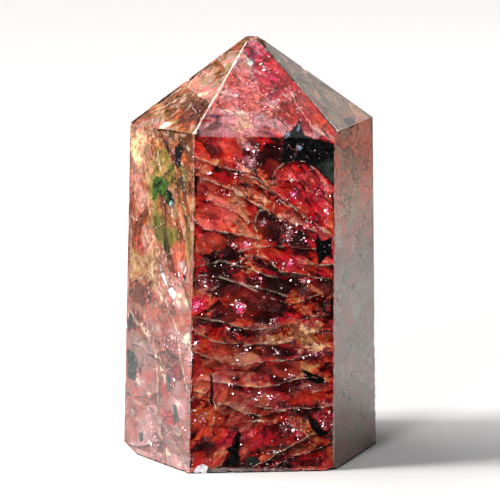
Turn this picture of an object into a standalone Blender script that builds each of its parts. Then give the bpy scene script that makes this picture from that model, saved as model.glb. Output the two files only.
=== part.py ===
# Garnet crystal: one cut and polished six-sided stone point that stands on its flat base.
# The stone is a solid block trimmed by flat polishing planes: six side faces that lean in a
# little, six point facets that meet above, a blunt tip and a few knocked corners. The polished
# edges are eased by a narrow bevel, and small chips and pits are cut out of the edges and faces.
import math
import random

import bmesh
import bpy
from mathutils import Matrix, Vector

MM = 0.001

OBJECT_NAME = "garnet_point"
COLLECTION_NAME = "garnet_crystal"
CUTTER_COLLECTION_NAME = "chip_cutters"

# Overall size, in millimetres
HEIGHT = 80.0
BLOCK_WIDTH = 64.0
BLOCK_DEPTH = 56.0
BLOCK_HEIGHT = 96.0

# Side faces: azimuth of the outward normal in degrees (0 looks to -Y, 90 to +X), distance of
# the face from the axis at the base, and the lean towards the axis in degrees
SIDE_FACES = {
    "front": (0.0, 20.72, 1.0),
    "right": (63.0, 22.09, 0.36),
    "back_right": (121.3, 21.0, 1.8),
    "back": (180.0, 20.71, 1.1),
    "back_left": (-120.0, 20.68, 1.15),
    "left": (-59.2, 21.9, 1.56),
}

# Point facets: azimuth and elevation of the outward normal in degrees, and the height at which
# the facet's plane crosses the axis
POINT_FACETS = {
    "point_front": (3.0, 47.9, 81.1),
    "point_right": (60.5, 52.0, 81.23),
    "point_back_right": (121.3, 48.9, 81.15),
    "point_back": (180.0, 48.5, 80.87),
    "point_back_left": (-120.0, 49.1, 80.63),
    "point_left": (-59.7, 50.2, 80.72),
}

# Knocked corners: a point near the corner, the direction that the small flat looks in (azimuth
# and elevation in degrees), and how far inside that point the flat lies
KNOCKED_CORNERS = (
    ((14.3, -20.7, 0.0), 28.0, -42.0, 0.75),
    ((-24.7, -1.4, 0.0), -81.5, -48.0, 1.25),
    ((11.9, 20.7, 0.0), 152.0, -48.0, 0.6),
    ((0.9, -0.9, 80.0), 40.0, 62.0, 0.35),
)

# Eased edges
EDGE_BEVEL = 0.34
EDGE_BEVEL_SEGMENTS = 2
EDGE_BEVEL_ANGLE = 18.0

# Chips and pits: the face or facet that each is in, its centre across and up that face, and its
# width, height and depth. Across is measured from the line where the axis projects onto the
# face, to the right as seen from outside, and up is the height above the base.
CHIPS = (
    ("front", -10.4, 0.9, 2.7, 1.8, 0.75),
    ("front", -5.3, 0.0, 1.9, 0.9, 0.5),
    ("front", 2.6, 0.0, 1.2, 0.7, 0.4),
    ("front", 8.2, 0.1, 1.6, 0.8, 0.45),
    ("front", 7.4, 26.4, 1.5, 0.7, 0.35),
    ("front", -0.6, 24.6, 1.1, 0.5, 0.3),
    ("front", -12.6, 2.4, 1.2, 1.8, 0.4),
    ("point_front", -1.0, 75.6, 0.9, 1.3, 0.4),
    ("left", 9.6, 0.1, 1.5, 0.8, 0.4),
    ("left", -1.6, 21.0, 0.6, 2.4, 0.3),
    ("left", -4.4, 29.4, 0.5, 1.7, 0.25),
    ("left", 4.6, 10.6, 0.9, 0.6, 0.3),
    ("right", -6.6, 36.2, 0.6, 0.8, 0.25),
    ("right", 2.4, 38.8, 0.7, 0.5, 0.25),
    ("right", -2.4, 16.4, 0.8, 0.6, 0.3),
    ("right", 5.6, 0.1, 1.4, 0.7, 0.4),
    ("back", -5.6, 41.0, 1.4, 0.8, 0.35),
    ("back", 6.2, 18.5, 0.9, 1.5, 0.3),
    ("back", 1.8, 0.1, 2.2, 0.9, 0.5),
    ("back_left", 3.2, 52.0, 0.8, 1.2, 0.3),
    ("back_left", -4.0, 27.0, 1.3, 0.6, 0.3),
    ("back_right", 3.4, 33.0, 1.1, 0.7, 0.3),
    ("back_right", -4.8, 57.0, 0.7, 1.0, 0.25),
    ("point_back", 3.0, 70.5, 1.2, 0.9, 0.35),
)

# Nicks that sit on an edge between two faces: the two faces, the height, and the nick's size
# across the edge, along it and into it
EDGE_NICKS = (
    ("point_right", "point_back_right", 73.9, 1.7, 1.3, 0.5),
    ("point_left", "point_back_left", 71.8, 1.2, 1.5, 0.35),
    ("front", "left", 3.0, 0.9, 2.0, 0.3),
    ("front", "right", 47.5, 0.7, 1.3, 0.25),
    ("front", "left", 36.6, 0.6, 1.1, 0.25),
    ("right", "back_right", 14.0, 0.9, 1.8, 0.35),
    ("left", "back_left", 24.5, 0.8, 1.6, 0.3),
    ("back", "back_right", 50.0, 0.9, 1.7, 0.35),
    ("back", "back_left", 9.0, 1.0, 2.2, 0.4),
)
CHIP_LIFT = 0.22
CHIP_ROUGHNESS = 0.16
CHIP_SEED = 41

STONE_COLOUR = (0.43, 0.085, 0.09, 1.0)
STONE_ROUGHNESS = 0.12
STONE_METALLIC = 0.0


def direction(azimuth, elevation):
    """Unit vector for an azimuth from -Y towards +X and an elevation, both in degrees."""
    az = math.radians(azimuth)
    el = math.radians(elevation)
    return Vector((math.sin(az) * math.cos(el), -math.cos(az) * math.cos(el), math.sin(el)))


def face_plane(name):
    """Point and outward normal of a side face or a point facet, in millimetres."""
    if name in SIDE_FACES:
        azimuth, distance, lean = SIDE_FACES[name]
        foot = direction(azimuth, 0.0) * distance
        return foot, direction(azimuth, lean)
    azimuth, elevation, axis_height = POINT_FACETS[name]
    return Vector((0.0, 0.0, axis_height)), direction(azimuth, elevation)


def point_on_face(name, across, up):
    """Point of a face, across from the axis line and up from the base."""
    point, normal = face_plane(name)
    level = Vector((-normal.y, normal.x, 0.0)).normalized()
    outward = Vector((normal.x, normal.y, 0.0)).normalized()
    along = level * across
    reach = (normal.dot(point) - normal.z * up - normal.dot(along)) / normal.dot(outward)
    return along + outward * reach + Vector((0.0, 0.0, up))


def point_on_edge(first, second, up):
    """Point at a height on the line where two faces meet."""
    point_a, normal_a = face_plane(first)
    point_b, normal_b = face_plane(second)
    across_a = normal_a.dot(point_a) - normal_a.z * up
    across_b = normal_b.dot(point_b) - normal_b.z * up
    determinant = normal_a.x * normal_b.y - normal_a.y * normal_b.x
    x = (across_a * normal_b.y - normal_a.y * across_b) / determinant
    y = (normal_a.x * across_b - across_a * normal_b.x) / determinant
    return Vector((x, y, up))


def new_collection(name):
    collection = bpy.data.collections.new(name)
    bpy.context.scene.collection.children.link(collection)
    return collection


def new_object(name, bm, collection):
    mesh = bpy.data.meshes.new(name)
    bm.to_mesh(mesh)
    bm.free()
    obj = bpy.data.objects.new(name, mesh)
    collection.objects.link(obj)
    return obj


def trim(bm, point, normal):
    """Cut away what lies outside a plane and close the cut with one flat face."""
    result = bmesh.ops.bisect_plane(
        bm,
        geom=bm.verts[:] + bm.edges[:] + bm.faces[:],
        dist=1e-9,
        plane_co=point * MM,
        plane_no=normal,
        clear_outer=True,
    )
    rim = [item for item in result["geom_cut"] if isinstance(item, bmesh.types.BMEdge)]
    bmesh.ops.holes_fill(bm, edges=rim, sides=0)


def build_stone(collection):
    bm = bmesh.new()
    bmesh.ops.create_cube(bm, size=1.0)
    block = Vector((BLOCK_WIDTH, BLOCK_DEPTH, BLOCK_HEIGHT)) * MM
    bmesh.ops.scale(bm, vec=block, verts=bm.verts)
    bmesh.ops.translate(bm, vec=Vector((0.0, 0.0, block.z / 2.0)), verts=bm.verts)
    for name in SIDE_FACES:
        trim(bm, *face_plane(name))
    for name in POINT_FACETS:
        trim(bm, *face_plane(name))
    trim(bm, Vector((0.0, 0.0, HEIGHT)), Vector((0.0, 0.0, 1.0)))
    for corner, azimuth, elevation, depth in KNOCKED_CORNERS:
        normal = direction(azimuth, elevation)
        trim(bm, Vector(corner) - normal * depth, normal)
    bmesh.ops.recalc_face_normals(bm, faces=bm.faces)
    stone = new_object(OBJECT_NAME, bm, collection)

    bevel = stone.modifiers.new("eased_edges", "BEVEL")
    bevel.width = EDGE_BEVEL * MM
    bevel.segments = EDGE_BEVEL_SEGMENTS
    bevel.limit_method = "ANGLE"
    bevel.angle_limit = math.radians(EDGE_BEVEL_ANGLE)
    return stone


def facing(normal):
    """Rotation whose Z axis looks along a normal and whose X axis stays level."""
    level = Vector((-normal.y, normal.x, 0.0)).normalized()
    return Matrix((level, normal.cross(level), normal)).transposed().to_4x4()


def build_cutter(name, centre, normal, size, rng, collection):
    """Rough lens that bites into the stone: size is across, up and into the surface."""
    bm = bmesh.new()
    bmesh.ops.create_icosphere(bm, subdivisions=2, radius=1.0)
    for vert in bm.verts:
        vert.co *= 1.0 + rng.uniform(-CHIP_ROUGHNESS, CHIP_ROUGHNESS)
    bmesh.ops.scale(bm, vec=Vector(size) * Vector((0.5, 0.5, 1.0)) * MM, verts=bm.verts)
    spin = Matrix.Rotation(rng.uniform(-0.3, 0.3), 4, "Z")
    lifted = centre + normal * size[2] * CHIP_LIFT
    place = Matrix.Translation(lifted * MM) @ facing(normal) @ spin
    bmesh.ops.transform(bm, matrix=place, verts=bm.verts)
    cutter = new_object(name, bm, collection)
    cutter.hide_render = True
    cutter.display_type = "WIRE"
    return cutter


def add_chips(stone, collection):
    """Cut every chip and nick out of the stone in one go."""
    rng = random.Random(CHIP_SEED)
    for number, (face, across, up, width, height, depth) in enumerate(CHIPS, 1):
        normal = face_plane(face)[1]
        centre = point_on_face(face, across, up)
        name = "chip_%02d" % number
        build_cutter(name, centre, normal, (width, height, depth), rng, collection)
    for number, (first, second, up, width, length, depth) in enumerate(EDGE_NICKS, 1):
        normal = (face_plane(first)[1] + face_plane(second)[1]).normalized()
        centre = point_on_edge(first, second, up)
        name = "nick_%02d" % number
        build_cutter(name, centre, normal, (width, length, depth), rng, collection)

    # Flat triangles keep the cuts exact
    flat = stone.modifiers.new("flat_triangles", "TRIANGULATE")
    flat.min_vertices = 4
    boolean = stone.modifiers.new("chips", "BOOLEAN")
    boolean.operation = "DIFFERENCE"
    boolean.solver = "EXACT"
    boolean.operand_type = "COLLECTION"
    boolean.collection = collection


def stone_material():
    material = bpy.data.materials.new("garnet_stone")
    material.use_nodes = True
    shader = material.node_tree.nodes["Principled BSDF"]
    shader.inputs["Base Color"].default_value = STONE_COLOUR
    shader.inputs["Roughness"].default_value = STONE_ROUGHNESS
    shader.inputs["Metallic"].default_value = STONE_METALLIC
    return material


def main():
    for obj in list(bpy.data.objects):
        bpy.data.objects.remove(obj, do_unlink=True)
    parts = new_collection(COLLECTION_NAME)
    cutters = new_collection(CUTTER_COLLECTION_NAME)
    stone = build_stone(parts)
    add_chips(stone, cutters)
    stone.data.materials.append(stone_material())


main()
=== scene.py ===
import math
import random

import bmesh
import bpy
import numpy as np
from mathutils import Euler, Matrix, Vector
from mathutils.bvhtree import BVHTree


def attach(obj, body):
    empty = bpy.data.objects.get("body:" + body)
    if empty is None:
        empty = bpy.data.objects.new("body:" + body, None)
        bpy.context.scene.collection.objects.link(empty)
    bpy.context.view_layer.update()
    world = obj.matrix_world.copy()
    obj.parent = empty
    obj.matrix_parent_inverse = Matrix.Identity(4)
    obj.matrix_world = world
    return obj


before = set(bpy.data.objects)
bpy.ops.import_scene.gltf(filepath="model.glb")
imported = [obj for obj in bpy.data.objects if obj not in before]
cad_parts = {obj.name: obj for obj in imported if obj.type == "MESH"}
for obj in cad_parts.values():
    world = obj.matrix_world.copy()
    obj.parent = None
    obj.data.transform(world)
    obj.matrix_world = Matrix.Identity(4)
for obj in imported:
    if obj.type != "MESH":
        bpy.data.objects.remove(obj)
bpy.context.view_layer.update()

MM = 0.001
NODE = "garnet_point"
SEED = 7

# Camera: stands in front of the stone, a little to its left, and looks down at it
CAMERA_DISTANCE = 500.0
CAMERA_HEIGHT = 125.0
CAMERA_TURN = -4.2
CAMERA_AIM_HEIGHT = 39.0
CAMERA_AXIS = (-0.13, -1.29)
FOCAL_PIXELS = 2637.0
PICTURE_SIZE = 500
SENSOR = 36.0

# The stone's polished planes, in millimetres and degrees, as in the CAD source
SIDE_FACES = {
    "front": (0.0, 20.72, 1.0),
    "right": (63.0, 22.09, 0.36),
    "back_right": (121.3, 21.0, 1.8),
    "back": (180.0, 20.71, 1.1),
    "back_left": (-120.0, 20.68, 1.15),
    "left": (-59.2, 21.9, 1.56),
}
POINT_FACETS = {
    "point_front": (3.0, 47.9, 81.1),
    "point_right": (60.5, 52.0, 81.23),
    "point_back_right": (121.3, 48.9, 81.15),
    "point_back": (180.0, 48.5, 80.87),
    "point_back_left": (-120.0, 49.1, 80.63),
    "point_left": (-59.7, 50.2, 80.72),
}
CAPS = {"tip": (80.0, 1.0), "base": (0.0, -1.0)}


def srgb(r, g, b):
    """Linear colour of an 8-bit display colour."""
    out = []
    for v in (r, g, b):
        v = v / 255.0
        out.append(v / 12.92 if v <= 0.04045 else ((v + 0.055) / 1.055) ** 2.4)
    return np.array(out)


# The stone's colours, as a display shows them
COLOURS = {
    "crimson": srgb(194, 34, 32),
    "ruby": srgb(156, 12, 30),
    "magenta": srgb(206, 40, 92),
    "maroon": srgb(96, 7, 9),
    "dark": srgb(36, 2, 3),
    "brick": srgb(170, 62, 44),
    "salmon": srgb(226, 120, 94),
    "orange": srgb(196, 76, 40),
    "amber": srgb(208, 140, 66),
    "pink": srgb(222, 138, 138),
    "rose": srgb(194, 84, 72),
    "beige": srgb(206, 166, 130),
    "cream": srgb(240, 216, 188),
    "tan": srgb(182, 134, 92),
    "olive": srgb(122, 102, 52),
    "green": srgb(50, 82, 24),
    "fern": srgb(134, 138, 70),
    "grey": srgb(150, 138, 124),
    "brown": srgb(104, 50, 32),
    "black": srgb(4, 4, 5),
    "mist": srgb(150, 112, 100),
    "slate": srgb(40, 46, 42),
    "mauve": srgb(176, 138, 134),
    "lilac": srgb(206, 176, 206),
    "plum": srgb(112, 62, 84),
    "glass": srgb(150, 190, 200),
    "steel_glint": srgb(120, 134, 160),
    "chip_and_glint": srgb(232, 224, 230),
    "fuchsia_glint": srgb(255, 60, 138),
    "frost_and_glint": srgb(246, 242, 240),
    "ash": srgb(112, 92, 86),
}


# Random numbers and noise that depend only on the place in the stone

def mix_bits(h):
    h = h.astype(np.uint32)
    h ^= h >> np.uint32(16)
    h = h * np.uint32(0x7FEB352D)
    h ^= h >> np.uint32(15)
    h = h * np.uint32(0x846CA68B)
    h ^= h >> np.uint32(16)
    return h


def cell_hash(cells, seed):
    """An id for each cell of a grid."""
    c = cells.astype(np.int64).astype(np.uint32)
    h = mix_bits(c[:, 0] + np.uint32(seed * 7919 + 13))
    h = mix_bits(h ^ (c[:, 1] * np.uint32(0x9E3779B1)))
    return mix_bits(h ^ (c[:, 2] * np.uint32(0x85EBCA77)))


def chance(ids, salt):
    """A number from 0 to 1 for each cell, different for each salt."""
    return mix_bits(ids + np.uint32((salt * 2654435761) % 4294967296)) / 4294967295.0


def gradient_noise(p, seed=0):
    """Smooth noise from about -1 to 1 at points in units of one cell."""
    base = np.floor(p)
    f = p - base
    w = f * f * f * (f * (f * 6 - 15) + 10)
    total = np.zeros(len(p))
    for corner in np.ndindex(2, 2, 2):
        ids = cell_hash(base + corner, seed)
        g = np.stack([chance(ids, k) * 2 - 1 for k in (1, 2, 3)], axis=1)
        weight = np.ones(len(p))
        for k in range(3):
            weight *= w[:, k] if corner[k] else 1 - w[:, k]
        total += weight * np.einsum("ij,ij->i", g, f - corner)
    return total * 1.6


def layered_noise(p, octaves, seed=0):
    """Noise with finer and fainter layers added."""
    total = np.zeros(len(p))
    strength = 1.0
    for k in range(octaves):
        total += strength * gradient_noise(p * 2.0 ** k + 17.3 * k, seed + k)
        strength *= 0.5
    return total


def grains(p, seed):
    """Nearest grain of each point, in units of one grain: its id, and the offset from its middle."""
    base = np.floor(p)
    nearest = np.full(len(p), 1e9)
    ids = np.zeros(len(p), np.uint32)
    offsets = np.zeros_like(p)
    for step in np.ndindex(3, 3, 3):
        cells = base + (np.array(step) - 1)
        found = cell_hash(cells, seed)
        centre = cells + np.stack([chance(found, k) for k in (11, 12, 13)], axis=1)
        off = p - centre
        away = np.einsum("ij,ij->i", off, off)
        closer = away < nearest
        nearest = np.where(closer, away, nearest)
        ids = np.where(closer, found, ids)
        offsets = np.where(closer[:, None], off, offsets)
    return {"id": ids, "off": offsets}


def smooth(x, low, high):
    """Soft step from 0 at low to 1 at high."""
    t = np.clip((x - low) / (high - low), 0.0, 1.0)
    return t * t * (3 - 2 * t)


# The stone's planes and faces

def direction(azimuth, elevation):
    az = math.radians(azimuth)
    el = math.radians(elevation)
    return np.array([math.sin(az) * math.cos(el), -math.cos(az) * math.cos(el), math.sin(el)])


def face_plane(name):
    """A point of a face's plane, and its outward direction."""
    if name in CAPS:
        height, look = CAPS[name]
        return np.array([0.0, 0.0, height]), np.array([0.0, 0.0, look])
    if name in SIDE_FACES:
        azimuth, distance, lean = SIDE_FACES[name]
        return direction(azimuth, 0.0) * distance, direction(azimuth, lean)
    azimuth, elevation, axis_height = POINT_FACETS[name]
    return np.array([0.0, 0.0, axis_height]), direction(azimuth, elevation)


FACES = list(SIDE_FACES) + list(POINT_FACETS) + list(CAPS)
PLANES = {name: face_plane(name) for name in FACES}
NORMALS = np.array([PLANES[name][1] for name in FACES])
OFFSETS = np.array([PLANES[name][0] @ PLANES[name][1] for name in FACES])


def face_axes(name):
    """Level axis to the right as seen from outside, and the axis up the face."""
    normal = PLANES[name][1]
    level = np.array([-normal[1], normal[0], 0.0]) if abs(normal[2]) < 0.99 else np.array([1.0, 0, 0])
    level /= np.linalg.norm(level)
    return level, np.cross(normal, level)


def face_corners(name):
    """Corners of a face: where its plane meets two others, on the stone."""
    me = FACES.index(name)
    found = []
    others = [k for k in range(len(FACES)) if k != me]
    for i, a in enumerate(others):
        for b in others[i + 1:]:
            m = NORMALS[[me, a, b]]
            if abs(np.linalg.det(m)) < 1e-4:
                continue
            corner = np.linalg.solve(m, OFFSETS[[me, a, b]])
            if np.all(NORMALS @ corner <= OFFSETS + 1e-6):
                found.append(corner)
    return np.array(found)


def soft_inward(p):
    """Direction into the stone, turning smoothly from one face to the next."""
    heights = p @ NORMALS.T - OFFSETS
    weight = np.exp(np.clip(heights * 1.6, -40, 0))
    out = -(weight @ NORMALS)
    return out / np.linalg.norm(out, axis=1)[:, None]


# Where a pixel of the photograph meets the stone

def camera_place():
    """Where the camera is, in millimetres, and how it is turned."""
    turn = math.radians(CAMERA_TURN)
    x = CAMERA_AXIS[0] + CAMERA_DISTANCE * math.sin(turn)
    y = CAMERA_AXIS[1] - CAMERA_DISTANCE * math.cos(turn)
    pitch = math.atan2(CAMERA_HEIGHT - CAMERA_AIM_HEIGHT, CAMERA_DISTANCE)
    return Vector((x, y, CAMERA_HEIGHT)), Euler((math.pi / 2 - pitch, 0.0, turn))


# Grains: how the stone's pieces lie inside each face

def bent_layers(p):
    """Layers of the front: they dip to the right above, lie level in the middle and rise below."""
    slope = -0.30 + 0.30 * smooth(p[:, 2], 4, 24) + 0.44 * smooth(p[:, 2], 26, 46)
    level = p[:, 2] + slope * p[:, 0] + 0.010 * p[:, 0] ** 2
    return np.stack([p[:, 0], p[:, 1], level], axis=1), np.array([1.0, 0.9, 0.58])


def slanting_grains(p):
    """Broad slanting grains of the left side, taller near its top."""
    along = p[:, 2] * (0.9 - 0.2 * smooth(p[:, 2], 36, 50))
    lean = 0.2 * p[:, 2]
    return np.stack([p[:, 0] + 0.2 * lean, p[:, 1] - lean, along], axis=1), np.array([1.45, 1.45, 0.85])


def broad_blocks(p):
    """Large quiet blocks."""
    return p.copy(), np.array([1.2, 1.2, 1.0])


# How the grains of each face lie
FABRICS = {
    "front": bent_layers, "left": slanting_grains, "right": broad_blocks, "back_right": bent_layers,
    "back": bent_layers, "back_left": slanting_grains,
    "point_front": bent_layers, "point_left": broad_blocks, "point_right": broad_blocks,
    "point_back_right": bent_layers, "point_back": bent_layers, "point_back_left": slanting_grains,
    "tip": bent_layers, "base": broad_blocks,
}
# Distance between the points of each face's sheet, in millimetres
SPACING = {
    "front": 0.14, "left": 0.17, "right": 0.21, "back_right": 0.25, "back": 0.25, "back_left": 0.25,
    "point_front": 0.15, "point_left": 0.17, "point_right": 0.18,
    "point_back_right": 0.24, "point_back": 0.24, "point_back_left": 0.24, "tip": 0.2, "base": 0.6,
}
# Sizes of the grains, in millimetres
BIG, MIDDLE, SMALL, TINY = 7.6, 3.0, 1.05, 0.46
# How far the inside of the stone stays above the flat base and under the skin, and how deep its
# grains may lie, in millimetres
BASE_CLEARANCE = 0.04
SKIN_GAP = 0.07
LEAST_DEPTH, MOST_DEPTH = 0.14, 3.2
# How much of each colour the stone takes up in a millimetre, and the painted shade below a crack, which
# also stands for the deeper, clearer stone there
ABSORPTION = np.array([0.10, 0.28, 0.26])
CRACK_SHADE = np.array([0.7, 1.1, 1.1])

# Rows of tones from the darkest to the lightest, each with its share
PALETTES = {
    "deep": {"dark": 1.6, "maroon": 3.6, "ruby": 2.6, "crimson": 3.4, "brick": 3.0, "rose": 2.6,
             "salmon": 2.6, "beige": 1.2},
    "warm": {"brown": 0.6, "olive": 2.2, "brick": 1.2, "tan": 4, "mauve": 1.2, "salmon": 1.8,
             "pink": 0.8, "beige": 1.8, "cream": 0.4},
    "veiled": {"brown": 0.6, "slate": 0.5, "brick": 1.4, "mist": 4, "rose": 2.4, "mauve": 3,
               "pink": 1.2, "cream": 0.6},
    "quiet": {"mist": 1, "mauve": 1},
    "dusk": {"brick": 0.8, "mist": 3, "rose": 1.4, "mauve": 2.6},
    "pale": {"ruby": 1, "crimson": 1.4, "rose": 2.8, "salmon": 2.4, "mauve": 2, "pink": 5, "beige": 1.4},
    "stony": {"brown": 0.5, "olive": 1, "grey": 4, "tan": 1.4, "mauve": 1, "beige": 1},
    "ruby": {"maroon": 1.2, "ruby": 2, "crimson": 2.4, "magenta": 1.6, "rose": 0.8, "pink": 0.5},
    "maroon": {"dark": 5, "maroon": 4, "ruby": 0.8},
    "crimson": {"maroon": 0.6, "crimson": 5, "ruby": 1, "rose": 1},
    "orange": {"maroon": 0.5, "crimson": 1.4, "orange": 4, "salmon": 1},
    "salmon": {"brick": 1.4, "rose": 2.4, "salmon": 3, "pink": 0.5},
    "beige": {"dark": 1, "maroon": 1, "brick": 1.6, "salmon": 1, "tan": 2, "beige": 1.8, "cream": 0.4},
    "amber": {"maroon": 1.4, "brick": 1.6, "orange": 2, "amber": 2, "tan": 0.6, "beige": 0.8},
    "green": {"olive": 1.4, "green": 2, "tan": 1},
    "olive": {"brown": 0.6, "olive": 3, "tan": 2, "beige": 0.6},
    "magenta": {"ruby": 1, "magenta": 3, "pink": 1},
    "violet": {"maroon": 1.8, "plum": 2, "ruby": 1, "mauve": 1.4, "pink": 0.8, "cream": 0.3},
    "blush": {"rose": 0.8, "salmon": 1.6, "pink": 4, "cream": 1.4},
    "wine": {"maroon": 1.4, "plum": 0.8, "ruby": 2.4, "magenta": 2, "mauve": 1, "pink": 1},
    "rosy": {"maroon": 0.8, "brown": 0.8, "brick": 1.4, "rose": 3, "mauve": 1.2, "salmon": 0.8},
    "moss": {"slate": 0.5, "olive": 1.6, "fern": 4, "tan": 0.6, "beige": 0.8},
    "pinkish": {"brick": 1, "rose": 2, "salmon": 2, "pink": 2, "cream": 1},
    "peach": {"brick": 0.6, "rose": 1.8, "salmon": 4, "pink": 1},
    "glint_haze": {"plum": 1.4, "mauve": 1.6, "lilac": 3, "cream": 0.4},
    "rosehaze": {"brown": 0.6, "rose": 2, "mauve": 2, "pink": 3, "cream": 0.8},
    "haze": {"plum": 0.6, "rose": 1.4, "mauve": 3, "pink": 2, "beige": 1.6},
    "brown": {"dark": 2, "brown": 3, "brick": 0.6},
    "tan": {"brown": 0.5, "brick": 0.6, "tan": 4, "beige": 2, "cream": 0.6},
    "rust": {"brown": 2, "orange": 1.4, "olive": 1.6, "tan": 0.6},
}
# The palette of each face where no patch lies
FACE_PALETTES = {
    "front": "deep", "left": "warm", "right": "dusk", "back_right": "deep", "back": "deep",
    "back_left": "warm", "point_front": "pale", "point_left": "warm", "point_right": "stony",
    "point_back_right": "pale", "point_back": "pale", "point_back_left": "warm",
    "tip": "pale", "base": "quiet",
}

# How broken up the stone of a patch is, 0 for smooth and 1 for crumbly; 0.5 if it isn't named
CRUMBLE = {
    "salmon": 0.05, "maroon": 0.1, "orange": 0.25, "crimson": 0.3, "beige": 1.0, "violet": 0.8,
    "ruby": 0.45, "magenta": 0.6, "haze": 0.3, "green": 0.3, "quiet": 0.1, "rust": 0.3, "blush": 0.6,
    "wine": 0.7, "rosy": 0.25, "moss": 0.5, "rosehaze": 0.7, "peach": 0.05, "glint_haze": 1.0, "amber": 1.0,
}

# How strongly the grains of a face differ from each other; 1 if it isn't named
FACE_CONTRAST = {"right": 0.17, "point_right": 0.5, "left": 0.7, "point_left": 0.8, "point_front": 0.54}
# Heights over which a face turns from the first shade to the second
USUAL_HEIGHTS = (10, 56)
SHADE_HEIGHTS = {"right": (37, 50)}
# Painted shade at the foot of the right side: how much of each colour it takes away, and the heights where
# that starts and is full
RIGHT_FOOT_PAINTED_SHADE = np.array([0.3, 0.62, 0.78])
FOOT_TOP, FOOT_FULL = 7.5, 2.0
# Light and tint of a face's grains, first near its foot and then near its top. Partly the stone's own tint
# and partly painted light and shade against how the lamps fall: the sunlit left faces are painted darker,
# and the right side, which the lamps hardly reach, is painted lighter, most of all near its top
NO_PAINTED_LIGHT = ((1.0, 1.0, 1.0), (1.0, 1.0, 1.0))
FACE_PAINTED_LIGHT = {
    "front": ((0.9, 0.78, 0.56), (1.22, 0.74, 0.62)),
    "left": ((0.53, 0.59, 0.61), (0.82, 0.88, 0.63)),
    "point_left": ((0.84, 1.04, 0.94), (0.84, 1.04, 0.94)),
    "right": ((0.52, 0.9, 0.86), (1.42, 2.0, 1.66)),
    "back_left": ((0.62, 0.56, 0.56), (0.7, 0.6, 0.5)),
    "point_back_left": ((0.66, 0.6, 0.55), (0.66, 0.6, 0.55)),
    "point_front": ((1.02, 0.96, 1.08), (1.02, 0.96, 1.08)),
    "point_right": ((1.1, 1.1, 0.85), (1.1, 1.1, 0.85)),
}


def tone(palette, t):
    """Colour along a palette's row of tones, for numbers from 0 to 1."""
    names = list(PALETTES[palette])
    share = np.array([PALETTES[palette][n] for n in names], float)
    middle = (np.cumsum(share) - share / 2) / share.sum()
    colours = np.array([COLOURS[n] for n in names])
    return np.stack([np.interp(t, middle, colours[:, k]) for k in range(3)], axis=1)


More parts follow.
